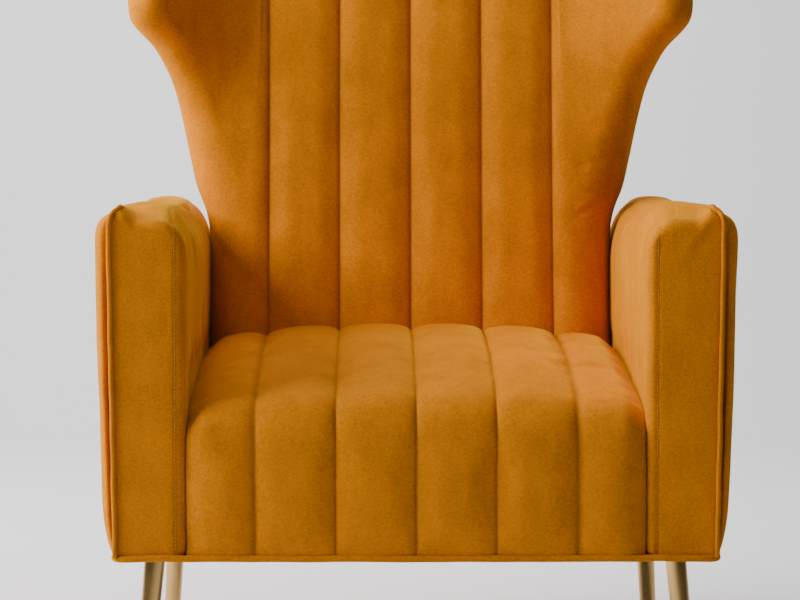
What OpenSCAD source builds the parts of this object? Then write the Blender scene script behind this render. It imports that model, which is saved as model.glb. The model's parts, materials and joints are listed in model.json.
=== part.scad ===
// Channelled wing armchair: tight seat, box arms, raked wing back, four splayed metal legs.
// Millimetres. +Z is up and the sitter faces -Y. X is 0 on the chair's centre plane.
// The origin is on the floor, under the middle of the chair.

/* [Overall] */
// Width over the outsides of the arms
chair_w = 730; // [716:2:744]
// Depth from the front welt to the rear of the crest
chair_d = 760; // [750:2:780]
// Height of the crest above the floor
chair_h = 980; // [970:2:1000]
// Height of the body's underside above the floor
body_z = 200; // [185:5:215]

/* [Seat] */
// Clear width between the arms
seat_w = 524; // [516:2:528]
// Height of the seat's crown above the body's underside
seat_h = 235; // [228:1:240]
// Radius of the seat's front nose
nose_r = 34; // [28:1:40]
// How far the crown falls towards the nose
nose_drop = 41; // [30:1:46]

/* [Arms] */
// Height of the arms above the body's underside
arm_h = 395; // [390:1:400]
// Radius of the arm's inner top edge
arm_top_r = 48; // [44:1:52]
// Thickness of the outside panel
outside_t = 16.5; // [15:0.5:17]
// How far the outside of the arm leans in at the foot
arm_taper = 6; // [3:1:8]

/* [Back] */
// Rake of the back from upright, in degrees
rake = 12; // [11.5:0.5:12.5]
// Thickness of the back, front to rear
back_t = 119; // [117:1:121]
// Half width of the back at the top of the arms
waist = 280; // [276:1:280]
// Half width over the wing tips
wing_tip = 362; // [356:1:364]
// Height of the wing tips above the body's underside
wing_z = 638; // [632:1:644]
// How far the wing tips come forward
wing_forward = 118; // [100:1:125]
// Half thickness of the wing's edge
wing_edge = 28; // [25:1:30]

/* [Legs] */
// Diameter of a leg at its plate
leg_top_d = 25; // [24:0.5:28]
// Diameter of a leg at the floor
leg_foot_d = 19; // [16:0.5:22]
// Wall of the leg tube
leg_wall = 1.5; // [1.2:0.1:2]
// Half the distance between the leg tops, side to side
leg_x = 302; // [300:1:304]
// Sideways splay of the front legs, in degrees
splay_front = 5.5; // [3:0.5:7]
// Sideways splay of the rear legs, in degrees
splay_rear = 3.5; // [2:0.5:6]
// Forward splay of the front legs, in degrees
lean_front = 4; // [2:0.5:6]
// Backward splay of the rear legs, in degrees
lean_rear = 8; // [4:0.5:10]

/* [Frame] */
// Thickness of the base rails
rail_t = 25; // [22:1:26]
// Height of the base rails
rail_h = 90; // [85:1:95]
// Number of sinuous seat springs
springs = 5; // [4:1:5]
// Wire diameter of the seat springs
wire_d = 3.6; // [3.2:0.1:3.8]
// Number of elastic straps across the back
straps = 5; // [4:1:6]

/* [Covers] */
// Thickness of the velvet with its backing
cloth_t = 2; // [1.5:0.1:2.2]
// Diameter of the welts
welt_d = 8; // [7:0.5:8]

/* [Hidden] */
$fn = 48;

// Colours
velvet = [0.78, 0.48, 0.03];
timber = [0.80, 0.66, 0.46];
foam_white = [0.93, 0.90, 0.80];
brass = [0.80, 0.65, 0.38];
steel = [0.62, 0.63, 0.65];
black = [0.08, 0.08, 0.09];

// Main planes
front_y = -chair_d / 2;                       // the front welt
face_y = front_y + 6;                         // the arm facings
kink_z = body_z + 100;                        // where the rear turns from upright to raked
crest_roll = 40;                              // height of the crest's rounded edge
rear_y = chair_d / 2 - 1.5 - (chair_h - crest_roll - kink_z) * tan(rake);
rail_z = body_z + 6;                          // underside of the rails
deck_z = rail_z + rail_h;                     // top of the rails
base_x = chair_w / 2 - outside_t - arm_taper - 4.5;  // outer face of the side rails
base_front = face_y + 14;                     // front of the front rail
base_rear = rear_y - 12;                      // rear of the rear rail
arm_in = seat_w / 2;                          // inner face of an arm
arm_out = chair_w / 2 - outside_t - 0.3;      // outer face of an arm, at its top
arm_top = body_z + arm_h;
clear = 0.3;                                  // gap between neighbouring soft parts

function rear(z) = rear_y + max(0, z - kink_z) * tan(rake);
function face(z) = rear(z) - back_t;
function smooth(t) = let (c = min(1, max(0, t))) c * c * (3 - 2 * c);
function arc(cx, cy, r, from, to, n) = [
    for (i = [0 : n]) let (a = from + (to - from) * i / n) [cx + r * cos(a), cy + r * sin(a)]
];
function rounded_square(w, r) = let (c = w / 2 - r) concat(
    arc(c, c, r, 0, 90, 4), arc(-c, c, r, 90, 180, 4),
    arc(-c, -c, r, 180, 270, 4), arc(c, -c, r, 270, 360, 4)
);

// A box between two corners.
module block(low, high) {
    translate(low) cube(high - low);
}

// The child on the right of the chair (+X, side 1) or mirrored to its left (side -1).
module on_side(side) {
    if (side > 0) children();
    else mirror([1, 0, 0]) children();
}

// Extrudes an outline of [x, z] points along Y, from y0 to y1.
module along_y(outline, y0, y1) {
    translate([0, y1, 0]) rotate([90, 0, 0]) linear_extrude(y1 - y0) polygon(outline);
}

// Extrudes an outline of [y, z] points along X, from x0 to x1.
module along_x(outline, x0, x1) {
    translate([x0, 0, 0]) rotate([90, 0, 90]) linear_extrude(x1 - x0) polygon(outline);
}

// ---------------------------------------------------------------- round cords swept along a path

function unit(v) = v / norm(v);
function direction(path, i, closed) = let (n = len(path))
    closed ? unit(path[(i + 1) % n] - path[(i + n - 1) % n])
    : unit(path[min(i + 1, n - 1)] - path[max(i - 1, 0)]);

// A ring of points round a path's point. "up" is any direction never along the path.
function ring(p, dir, up, r, sides) = let (a = unit(cross(dir, up)), b = cross(a, dir))
    [for (k = [0 : sides - 1]) p + r * (cos(360 * k / sides) * a + sin(360 * k / sides) * b)];

// A round cord along a path, open with flat ends, or closed into a loop.
module cord(path, d, up, sides = 8, closed = false) {
    n = len(path);
    points = [for (i = [0 : n - 1]) each ring(path[i], direction(path, i, closed), up, d / 2, sides)];
    spans = closed ? n : n - 1;
    walls = [for (i = [0 : spans - 1], k = [0 : sides - 1]) let (
        a = i * sides + k, b = i * sides + (k + 1) % sides,
        c = ((i + 1) % n) * sides + (k + 1) % sides, e = ((i + 1) % n) * sides + k
    ) each [[a, b, c], [a, c, e]]];
    caps = closed ? [] : [
        [for (k = [sides - 1 : -1 : 0]) k],
        [for (k = [0 : sides - 1]) (n - 1) * sides + k]
    ];
    polyhedron(points, concat(walls, caps), convexity = 10);
}

// ---------------------------------------------------------------- base frame

module front_rail() {
    color(timber) difference() {
        block([-base_x, base_front, rail_z], [base_x, base_front + rail_t, deck_z]);
        at_rail_screws() screw_hole(rail_screw);
        at_arm_bolts() screw_hole(arm_bolt);
    }
}

module rear_rail() {
    color(timber) difference() {
        block([-base_x, base_rear - rail_t, rail_z], [base_x, base_rear, deck_z]);
        at_rail_screws() screw_hole(rail_screw);
        at_arm_bolts() screw_hole(arm_bolt);
        at_back_bolts() screw_hole(arm_bolt);
    }
}

module side_rail(side) {
    color(timber) difference() {
        on_side(side) block([base_x - rail_t, base_front + rail_t, rail_z], [base_x, base_rear - rail_t, deck_z]);
        at_rail_screws() screw_hole(rail_screw);
        at_leg_screws() screw_hole(leg_screw);
    }
}

// A batten on the rear rail, in front of the back's posts, that holds the rear ends of the springs.
module spring_rail() {
    color(timber) block([-base_x + rail_t, spring_rail_y - spring_rail_t, deck_z - spring_rail_h],
        [base_x - rail_t, spring_rail_y, deck_z]);
}

spring_rail_t = 24;
spring_rail_h = 29;
spring_rail_y = base_rear - rail_t;

block_size = [76, 75, 60];
leg_front_y = base_front + rail_t + 36;       // centre of a front leg's plate
leg_rear_y = base_rear - rail_t - 38;         // centre of a rear leg's plate

module corner_blocks() {
    color(timber) difference() {
        for (side = [-1, 1], y = [base_front + rail_t, base_rear - rail_t - block_size[1]])
            on_side(side) translate([base_x - rail_t - block_size[0], y, rail_z]) cube(block_size);
        at_leg_screws() screw_hole(leg_screw);
    }
}

// Each fastener is [head diameter, head thickness, shank diameter, length].
rail_screw = [9, 2.5, 5, 50];
leg_screw = [9, 2, 4.6, 26];
arm_bolt = [13, 5, 8, rail_h + 30];
hole_gap = 0.2;                               // a hole is this much wider than what it holds

// A screw or bolt with its head's outer face at z = 0, pointing along +Z.
module screw(size) {
    cylinder(h = size[1], d = size[0]);
    cylinder(h = size[3], d = size[2]);
}

module screw_hole(size) {
    translate([0, 0, -1]) cylinder(h = size[1] + 1, d = size[0] + hole_gap);
    cylinder(h = size[3] + 1, d = size[2] + hole_gap);
}

// Places its child at the screws that go through the front and rear rails into the side rails.
module at_rail_screws() {
    for (side = [-1, 1], z = [rail_z + 32, deck_z - 22]) {
        translate([side * (base_x - rail_t / 2), base_front, z]) rotate([-90, 0, 0]) children();
        translate([side * (base_x - rail_t / 2), base_rear, z]) rotate([90, 0, 0]) children();
    }
}

module rail_screws() {
    color(steel) at_rail_screws() screw(rail_screw);
}

// ---------------------------------------------------------------- legs

plate_w = 64;
plate_t = 3;
plate_hole = 48;                              // distance between the screw holes
cap_t = 4;                                    // sole of the foot cap
cap_h = 14;
cap_wall = 1.4;

// Turns its children from pointing straight down to pointing along the leg, at the plate.
module along_leg(x, y, sx, sy) {
    dx = tan(sx);
    dy = tan(sy);
    translate([x, y, rail_z - plate_t]) rotate(a = atan(norm([dx, dy])), v = [dy, -dx, 0]) children();
}

leg_l = rail_z - plate_t;                     // height of a leg below its plate
function leg_r(z) = leg_foot_d / 2 + (leg_top_d - leg_foot_d) / 2 * z / leg_l;

// A downward cone from above the plate to below the floor, "grow" wider than the leg.
module leg_cone(grow) {
    translate([0, 0, -1.1 * leg_l])
        cylinder(h = 1.2 * leg_l, r1 = leg_r(-0.1 * leg_l) + grow, r2 = leg_r(1.1 * leg_l) + grow);
}

module leg(side, y, sx, sy) {
    color(brass) on_side(side) {
        intersection() {
            along_leg(leg_x, y, sx, sy) difference() {
                leg_cone(0);
                leg_cone(-leg_wall);
            }
            block([leg_x - 100, y - 100, cap_t + 0.2], [leg_x + 100, y + 100, rail_z - plate_t + 0.5]);
        }
        difference() {
            translate([leg_x, y, rail_z - plate_t]) linear_extrude(plate_t) polygon(rounded_square(plate_w, 8));
            at_plate_holes(y) cylinder(h = 4 * plate_t, d = 5.2, center = true);
        }
    }
}

// Places its child in each hole of the plate whose centre is at y, on the right of the chair.
module at_plate_holes(y) {
    for (i = [-1, 1], j = [-1, 1])
        translate([leg_x + i * plate_hole / 2, y + j * plate_hole / 2, rail_z - plate_t / 2]) children();
}

module foot(side, y, sx, sy) {
    color(black) on_side(side) intersection() {
        along_leg(leg_x, y, sx, sy) difference() {
            leg_cone(cap_wall);
            intersection() {
                leg_cone(0.15);
                translate([-50, -50, -leg_l * 1.1]) cube([100, 100, 0.1 * leg_l + leg_l - cap_t - 1]);
            }
        }
        block([leg_x - 100, y - 100, 0], [leg_x + 100, y + 100, cap_h]);
    }
}

module at_leg_screws() {
    for (side = [-1, 1], y = [leg_front_y, leg_rear_y])
        on_side(side) at_plate_holes(y) translate([0, 0, -plate_t / 2 - leg_screw[1]]) children();
}

module leg_screws() {
    color(steel) at_leg_screws() screw(leg_screw);
}

// ---------------------------------------------------------------- seat suspension

spring_front = base_front + rail_t / 2;
spring_rear = spring_rail_y - spring_rail_t / 2;
spring_arch = 22;                             // rise of a spring at the middle
wave = 27;                                    // half the width of a spring's waves
half_waves = 20;
clip = [22, 14, 6.6];
clip_t = 1.2;
wire_z = deck_z + clip_t + wire_d / 2 + 0.3;
spring_pitch = (seat_w - 110) / (springs - 1);

function arch(y) = spring_arch * sin(180 * (y - spring_front) / (spring_rear - spring_front));
function spring_x(i) = (i - (springs - 1) / 2) * spring_pitch;

module seat_springs() {
    steps = 5;                                // rings in half a wave
    length = spring_rear - spring_front;
    color(steel) for (s = [0 : springs - 1]) cord([
        for (i = [-1 : half_waves * steps + 1]) let (t = i / (half_waves * steps), y = spring_front + length * t)
            [spring_x(s) + wave * sin(180 * i / steps), y, wire_z + max(0, arch(y))]
    ], wire_d, [0, 0, 1], sides = 6);
}

// Folded steel clips that hold the ends of the springs on the rails.
module spring_clips() {
    color(steel) for (s = [0 : springs - 1], rear_end = [false, true])
        translate([spring_x(s), rear_end ? spring_rear : spring_front, deck_z])
            rotate([0, 0, rear_end ? 180 : 0]) difference() {
                block([-clip[0] / 2, -clip[1] / 2, 0], [clip[0] / 2, clip[1] / 2, clip[2]]);
                block([-clip[0], -clip[1] / 2 + clip_t, clip_t], [clip[0], clip[1], clip[2] - clip_t]);
            }
}

// The underside of the cloth deck, as [y, z] points over the springs and their clips.
deck_t = 2.5;
deck_steps = 16;
deck_over_clips = deck_z + clip[2] + 0.6;
deck_points = [
    for (i = [0 : deck_steps]) let (y = spring_front + (spring_rear - spring_front) * i / deck_steps)
        [y, max(wire_z + wire_d / 2 + 0.6 + arch(y), deck_over_clips)]
];

// The deck's line between y0 and y1, raised by "rise".
function deck_line(rise, y0, y1) = [
    for (y = concat([y0], [for (p = deck_points) if (p[0] > y0 && p[0] < y1) p[0]], [y1]))
        [y, lookup(y, deck_points) + rise]
];
function reversed(list) = [for (i = [len(list) - 1 : -1 : 0]) list[i]];

module seat_deck() {
    color(black) along_x(concat(
        deck_line(0, spring_front, spring_rear), reversed(deck_line(deck_t, spring_front, spring_rear))
    ), -seat_w / 2 + 8, seat_w / 2 - 8);
}

// ---------------------------------------------------------------- seat padding and cover

seat_top = body_z + seat_h;
seat_front = face_y - 3;
seat_foot = body_z + 10;                      // lower edge of the seat's front
nose_y = seat_front + 0.79 * nose_r;          // where the nose meets the top
crown_y = seat_front + 437;
nose_tilt = 12;                               // slope of the top at the nose

function seat_line(y) = seat_top - nose_drop * pow(max(0, (crown_y - y) / (crown_y - nose_y)), 2.2);

// The seat's outer line, from the foot of its front, over the nose, to the face of the back.
function seat_outline(inset) = let (
    cy = seat_front + nose_r, cz = seat_line(nose_y) - nose_r * cos(nose_tilt),
    rear_end = face(seat_top) - 2 * clear
) concat(
    [[seat_front + inset, seat_foot]],
    arc(cy, cz, nose_r - inset, 180, 90 + nose_tilt, 6),
    [for (t = [0.1 : 0.15 : 1]) let (y = nose_y + (rear_end - nose_y) * t) [y, seat_line(y) - inset]],
    [[rear_end, seat_top - inset]]
);

// The foam fills the space between the cover, the front rail, the deck and the back.
module seat_foam() {
    rear_low = deck_z + 26;
    over_rail = deck_over_clips + deck_t + clear;
    back_foot = face(rear_low) - 2 * clear;
    color(foam_white) along_x(concat(
        seat_outline(cloth_t + clear),
        [[back_foot, rear_low]],
        reversed(deck_line(deck_t + clear, spring_front, back_foot)),
        [[base_front - clear, over_rail], [base_front - clear, seat_foot]]
    ), -seat_w / 2 + cloth_t + 1, seat_w / 2 - cloth_t - 1);
}

module seat_cover() {
    color(velvet) {
        along_x(concat(seat_outline(0), reversed(seat_outline(cloth_t))), -seat_w / 2 + 1, seat_w / 2 - 1);
    }
}

// ---------------------------------------------------------------- arms

arm_foot = body_z + 8.5;                      // lower edge of the facings and outside panels
arm_low = deck_z + 4;                         // lower edge of the arm's padding
facing_t = 8;
core = [arm_in + 26, arm_in + 70];            // the arm frame's inner and outer faces
core_top = arm_top - 15;                      // top of the arm frame

// The arm's section as [x, z] points, from its outer foot round the top to its inner foot.
function arm_section(inset, foot_z) = let (
    outer_r = 8, cx = arm_in + arm_top_r, cz = arm_top - arm_top_r,
    lean = arm_taper / (arm_h - outer_r)
) concat(
    [[arm_out - inset - lean * (arm_top - outer_r - foot_z), foot_z]],
    arc(arm_out - outer_r, arm_top - 4 - outer_r, outer_r - inset, 0, 80, 3),
    arc(cx, cz, arm_top_r - inset, 90, 180, 8),
    [[arm_in + inset, foot_z]]
);

// Everything in front of the raked line that closes the arms' rear.
module before_rear(gap, x0, x1) {
    along_x([
        [face_y - 20, 0], [rear_y - gap, 0], [rear_y - gap, kink_z],
        [rear(arm_top + 50) - gap, arm_top + 50], [face_y - 20, arm_top + 50]
    ], x0, x1);
}

module arm_solid(inset, foot_z, y0, rear_gap) {
    intersection() {
        along_y(arm_section(inset, foot_z), y0, rear(arm_top) + 10);
        before_rear(rear_gap, 0, chair_w);
    }
}

module arm_cover(side) {
    color(velvet) on_side(side) difference() {
        arm_solid(0, arm_low, face_y + facing_t + clear, 0);
        arm_solid(cloth_t, arm_low - 1, face_y + facing_t - 1, cloth_t);
    }
}

module arm_foam(side) {
    color(foam_white) on_side(side) difference() {
        arm_solid(cloth_t + clear, arm_low, face_y + facing_t + clear, cloth_t + clear);
        block([core[0] - 3.4, base_front - 0.4, 0], [core[1] + 0.4, base_rear + 0.4, core_top + 0.4]);
    }
}

module arm_facing(side) {
    color(velvet) on_side(side) along_y(arm_section(0.5, arm_foot), face_y, face_y + facing_t);
}

// The padded outside panel: full at the top, with a round shoulder, and tucked in at the foot.
module arm_outside(side) {
    inner = arm_out + clear;
    foot_in = inner - arm_taper;
    shoulder = 44;                            // height of the round shoulder
    color(velvet) on_side(side) intersection() {
        along_y(concat(
            [[foot_in, arm_foot], [foot_in + outside_t - 8, arm_foot], [foot_in + outside_t - 4, arm_foot + 16]],
            [[foot_in + outside_t - 1, arm_foot + 60]],
            [for (a = [0 : 15 : 90]) [inner + outside_t * cos(a), arm_top - 6 - shoulder * (1 - sin(a))]]
        ), face_y + 1, rear(arm_top) + 10);
        before_rear(0, 0, chair_w);
    }
}

// The welt that runs up the front edge of the outside panel and back along its top.
module arm_welt(side) {
    r = 5;                                    // bend at the front top corner
    d = welt_d * 0.75;
    y = face_y - d / 2;
    top_z = arm_top - 5 + d / 2;
    x = arm_out + d / 2 - 1;
    color(velvet) on_side(side) cord(concat(
        [[x - arm_taper, y, arm_foot + 6], [x, y, top_z - 40]],
        [for (p = arc(y + r, top_z - r, r, 180, 90, 5)) [x, p[0], p[1]]],
        [[x, rear(top_z) - 4, top_z]]
    ), d, [1, 0, 0]);
}

arm_post_t = 35;
arm_rail_t = 20;

module arm_front_post(side) {
    arm_post(side, base_front);
}

module arm_rear_post(side) {
    arm_post(side, base_rear - arm_post_t);
}

module arm_post(side, y) {
    color(timber) difference() {
        on_side(side) block([core[0], y, deck_z], [core[1], y + arm_post_t, core_top - arm_rail_t]);
        at_arm_bolts() screw_hole(arm_bolt);
    }
}

module arm_top_rail(side) {
    color(timber) on_side(side)
        block([core[0], base_front, core_top - arm_rail_t], [core[1], base_rear, core_top]);
}

module arm_inner_board(side) {
    color([0.55, 0.38, 0.22]) on_side(side)
        block([core[0] - 3, base_front, deck_z + 10], [core[0], base_rear, core_top - 10]);
}

// Places its child at the bolts that go up through the front and rear rails into the arm posts.
module at_arm_bolts() {
    for (side = [-1, 1], y = [base_front + rail_t / 2, base_rear - rail_t / 2])
        translate([side * (core[0] + 14), y, rail_z]) children();
}

module arm_bolts() {
    color(steel) at_arm_bolts() screw(arm_bolt);
}

// ---------------------------------------------------------------- back frame

post_t = 25;
post_w = 42;
post_x = 216;                                 // outer face of a back post
post_l = (chair_h - 52 - deck_z) / cos(rake); // length of a back post
web_t = 1.6;

// The back frame's own axes: z along the posts, y to the rear, from the top of the rear rail.
module raked() {
    translate([0, base_rear - post_t, deck_z]) rotate([-rake, 0, 0]) children();
}

// A rail or post of the back between x0 and x1 and two heights along the rake, standing on the rear rail.
module raked_board(x0, x1, low, high) {
    color(timber) difference() {
        raked() block([x0, 0, low], [x1, post_t, high]);
        block([-chair_w, -chair_d, 0], [chair_w, chair_d, deck_z]);
        at_back_bolts() screw_hole(arm_bolt);
    }
}

module back_post(side) {
    on_side(side) raked_board(post_x - post_w, post_x, -20, post_l);
}

module back_top_rail() {
    raked_board(-post_x + post_w, post_x - post_w, post_l - 60, post_l);
}

module back_lumbar_rail() {
    raked_board(-post_x + post_w, post_x - post_w, 150, 195);
}

module back_bottom_rail() {
    raked_board(-post_x + post_w, post_x - post_w, -20, 50);
}

module back_webbing() {
    pitch = (post_l - 160) / (straps - 1);
    color(black) raked() for (i = [0 : straps - 1])
        translate([0, -web_t, 70 + i * pitch]) block([-post_x + 4, 0, -25], [post_x - 4, web_t, 25]);
}

// Places its child at the bolts that go up through the rear rail into the posts and the bottom rail.
module at_back_bolts() {
    for (x = [-post_x + post_w / 2, -65, 65, post_x - post_w / 2])
        translate([x, base_rear - rail_t / 2 + 1, rail_z]) children();
}

module back_bolts() {
    color(steel) at_back_bolts() screw(arm_bolt);
}

// ---------------------------------------------------------------- back shape

crest_n = 2.3;                                // exponent of the crest's superellipse
crest_h = chair_h - body_z - wing_z;          // rise from the wing tips to the crest
corner_z = 62;                                // where side and top edges join, above the tips
seam_x = 184;                                 // outermost sewn channel
bend_x = 205;                                 // where the wings start to come forward
bend_end = 330;

// Half width of the back's outline by height above the underside, up to the wing tips.
side_line = [
    [0, arm_in - 2], [345, arm_in - 2], [372, arm_in + 4], [385, arm_in + 12], [400, waist],
    [437, waist + 5], [476, waist + 13], [515, waist + 21], [553, waist + 33], [573, waist + 42],
    [588, waist + 52], [604, wing_tip - 14], [620, wing_tip - 4], [wing_z, wing_tip]
];
function crest_x(h) = wing_tip * pow(1 - pow(min(1, h / crest_h), crest_n), 1 / crest_n);
function crest_z(x) = crest_h * pow(1 - pow(min(1, abs(x) / wing_tip), crest_n), 1 / crest_n);
function half_width(z) = z - body_z < wing_z ? lookup(z - body_z, side_line) : crest_x(z - body_z - wing_z);

// How far the middle surface comes forward, and its slope, at a distance x from the centre plane.
function wing_u(x) = max(0, (x - bend_x) / (bend_end - bend_x));
function wing_on(z) = smooth((z - body_z - 360) / 280);
function forward(x, z) = wing_forward * pow(wing_u(x), 1.6) * wing_on(z);
function slope(x, z) = 1.6 * wing_forward / (bend_end - bend_x) * pow(wing_u(x), 0.6) * wing_on(z);

// A half circle's depth at a share of its radius in from the edge.
function edge(d, e) = sqrt(max(0, 1 - pow(1 - min(1, max(0, d / e)), 2)));
function edge_half(z) = wing_edge + (back_t / 2 - wing_edge) * (1 - smooth((z - body_z - 370) / 200));

// Columns run from the centre to the side edge and rows from the foot to the crest: both crowd at the edges.
columns = concat(
    [for (i = [0 : 4]) ["x", seam_x * i / 4]], [for (i = [1 : 6]) ["t", i / 6]],
    [for (a = [30, 55, 75, 90]) ["e", 1 - sin(90 - a)]]
);
rows = concat([0, 0.1, 0.2, 0.3, 0.36, 0.41, 0.44, 0.47, 0.53, 0.59, 0.65, 0.71, 0.76, 0.8, 0.84, 0.88], [0.92, 0.95, 0.97, 0.985, 0.995, 1]);

// A point on the front (face 1) or the rear (face -1) of the back, "inset" inside its surface.
function back_point(column, v, side, face_sign, inset, foot_z) = let (
    corner = body_z + wing_z + corner_z,
    corner_x = half_width(corner),
    z_side = foot_z + (corner - inset - foot_z) * v,
    w = half_width(z_side) - inset,
    e = edge_half(z_side) - inset,
    tilt = atan(slope(w - e, z_side)),
    mid_w = w - e * (1 - cos(tilt)),
    flat_end = mid_w - e * cos(tilt),
    x = column[0] == "x" ? column[1]
        : column[0] == "t" ? seam_x + (flat_end - seam_x) * column[1]
        : flat_end + (mid_w - flat_end) * column[1],
    lift = smooth((z_side - kink_z - 250) / 330),
    top_x = x * corner_x / mid_w,
    z = z_side + lift * (crest_z(top_x) - crest_z(corner_x)),
    top_d = (body_z + wing_z + crest_z(top_x) - inset) - z,
    side_d = (mid_w - x) / cos(tilt),
    m = slope(x, z),
    share = smooth((x - bend_x) / max(1, flat_end - bend_x)),
    h = max(0.3, ((back_t / 2 - inset) * (1 - share) + e * share) * edge(side_d, e) * edge(top_d, crest_roll)),
    n = [-m, -1] / sqrt(1 + m * m)
) [side * (x + face_sign * h * n[0]), rear(z) - back_t / 2 - forward(x, z) + face_sign * h * n[1], z];

// Every point of one face, row by row, from the left edge to the right.
function back_grid(face_sign, inset, foot_z) = let (last = len(columns) - 1) [
    for (v = rows) each concat(
        [for (i = [last : -1 : 1]) back_point(columns[i], v, -1, face_sign, inset, foot_z)],
        [for (i = [0 : last]) back_point(columns[i], v, 1, face_sign, inset, foot_z)]
    )
];
across = 2 * len(columns) - 1;
function grid_faces(offset, flip) = [
    for (r = [0 : len(rows) - 2], c = [0 : across - 2]) let (
        a = offset + r * across + c, b = a + 1, d = a + across, e = d + 1
    ) each (flip ? [[a, d, b], [b, d, e]] : [[a, b, d], [b, e, d]])
];
// The edge of a grid as point numbers: up one side, along the top, and down the other side.
rim = concat(
    [for (r = [0 : len(rows) - 1]) r * across],
    [for (c = [1 : across - 1]) (len(rows) - 1) * across + c],
    [for (r = [len(rows) - 2 : -1 : 0]) r * across + across - 1]
);
foot_line = [for (c = [across - 2 : -1 : 1]) c];
function strip(edge_list, a_off, b_off) = [
    for (i = [0 : len(edge_list) - 2]) let (a = edge_list[i], b = edge_list[i + 1])
        each [[a_off + a, a_off + b, b_off + b], [a_off + a, b_off + b, b_off + a]]
];

// A closed skin between two insets of one face of the back.
module back_skin(face_sign, outer, inner, foot_z) {
    count = len(rows) * across;
    loop = concat(rim, foot_line, [rim[0]]);
    flip = face_sign < 0;
    sides = strip(loop, 0, count);
    polyhedron(
        concat(back_grid(face_sign, outer, foot_z), back_grid(face_sign, inner, foot_z)),
        concat(
            grid_faces(0, !flip), grid_faces(count, flip),
            flip ? sides : [for (f = sides) [f[0], f[2], f[1]]]
        ), convexity = 10
    );
}

// The whole back as one closed body, "inset" inside its outer surface.
module back_body(inset, foot_z) {
    count = len(rows) * across;
    polyhedron(
        concat(back_grid(1, inset, foot_z), back_grid(-1, inset, foot_z)),
        concat(
            grid_faces(0, true), grid_faces(count, false),
            [for (f = strip(concat(rim, foot_line, [rim[0]]), 0, count)) [f[0], f[2], f[1]]]
        ), convexity = 10
    );
}

back_foot = kink_z + 2;                       // lower edge of the outside back
front_foot = deck_z + 24;                     // lower edge of the back's padding and inside cover

// Cuts the back's padding and inside cover off above the seat's deck.
module clear_of_deck() {
    block([-chair_w, -chair_d, 0], [chair_w, base_rear - rail_t, front_foot]);
}

module back_foam() {
    color(foam_white) difference() {
        back_body(cloth_t + clear, back_foot);
        clear_of_deck();
        raked() block([-post_x - clear, -web_t - clear, -60], [post_x + clear, 80, post_l + clear]);
        for (side = [-1, 1]) on_side(side) wing_board_shape(0.4);
    }
}

module back_cover() {
    color(velvet) difference() {
        back_skin(1, 0, cloth_t, back_foot);
        clear_of_deck();
    }
}

module back_outside() {
    color(velvet) back_skin(-1, 0, cloth_t, back_foot);
}

// ---------------------------------------------------------------- wing boards

board_t = 12;
board_turn = 48;                              // turn of a wing board from the back's plane, in degrees
board_low = 400;                              // lower and upper ends, along the rake
board_high = 590;

// A board from the side of a back post towards the wing tip, "gap" larger all round.
module wing_board_shape(gap) {
    steps = 8;
    outline = concat(
        [[post_x - gap, board_low - gap]],
        [for (i = [0 : steps]) let (l = board_low + (board_high - board_low) * i / steps)
            [half_width(deck_z + 12 + l * cos(rake)) - 42 + gap, l + (i == 0 ? -gap : i == steps ? gap : 0)]],
        [[post_x - gap, board_high + gap]]
    );
    raked() intersection() {
        along_y(outline, -400, 400);
        translate([post_x, 4, 0]) rotate([0, 0, -board_turn])
            block([-60, -board_t / 2 - gap, 0], [260, board_t / 2 + gap, chair_h]);
    }
}

module wing_board(side) {
    color(timber) on_side(side) wing_board_shape(0);
}

// ---------------------------------------------------------------- underside

module base_rear_panel() {
    color(velvet) block([-base_x, base_rear + 1.6, arm_foot], [base_x, rear_y, arm_low - 0.5]);
}

foot_x = arm_out + 3 - arm_taper;             // centre line of the body's welt, at the sides
foot_front = front_y + welt_d / 2;            // at the front
foot_rear = rear_y + 1;                       // and at the rear

// The welt round the foot of the body.
module body_welt() {
    r = 14;                                   // corner bend
    z = body_z + welt_d / 2;
    x = foot_x;
    y0 = foot_front;
    y1 = foot_rear;
    path = concat(
        arc(x - r, y1 - r, r, 0, 90, 4), arc(-x + r, y1 - r, r, 90, 180, 4),
        arc(-x + r, y0 + r, r, 180, 270, 4), arc(x - r, y0 + r, r, 270, 360, 4)
    );
    color(velvet) cord([for (p = path) [p[0], p[1], z]], welt_d, [0, 0, 1], closed = true);
}

dust_t = 1.5;

// The dust cover reaches from welt to welt and is cut out round the legs' plates.
module dust_cover() {
    gap = welt_d / 2 + clear;
    r = 10;                                   // corner, inside the welt's
    color(black) difference() {
        translate([0, 0, rail_z - dust_t]) linear_extrude(dust_t) polygon(concat(
            arc(foot_x - gap - r, foot_rear - gap - r, r, 0, 90, 4),
            arc(-foot_x + gap + r, foot_rear - gap - r, r, 90, 180, 4),
            arc(-foot_x + gap + r, foot_front + gap + r, r, 180, 270, 4),
            arc(foot_x - gap - r, foot_front + gap + r, r, 270, 360, 4)
        ));
        for (side = [-1, 1], y = [leg_front_y, leg_rear_y]) on_side(side) translate([leg_x, y, rail_z - 4])
            linear_extrude(8) polygon(rounded_square(plate_w + 2, 9));
    }
}

// Wire staples along the edges of the dust cover, driven up into the rails.
module dust_cover_staples() {
    across_n = 8;
    along_n = 6;
    x_end = leg_x - 60;
    y_mid = (leg_front_y + leg_rear_y) / 2;
    y_end = (leg_rear_y - leg_front_y) / 2 - 60;
    color(steel) {
        for (i = [0 : across_n - 1], y = [base_front + 12, base_rear - 12])
            translate([-x_end + 2 * x_end * i / (across_n - 1), y, rail_z - dust_t]) staple();
        for (i = [0 : along_n - 1], side = [-1, 1])
            translate([side * (base_x - 12), y_mid - y_end + 2 * y_end * i / (along_n - 1), rail_z - dust_t])
                rotate([0, 0, 90]) staple();
    }
}

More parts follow.
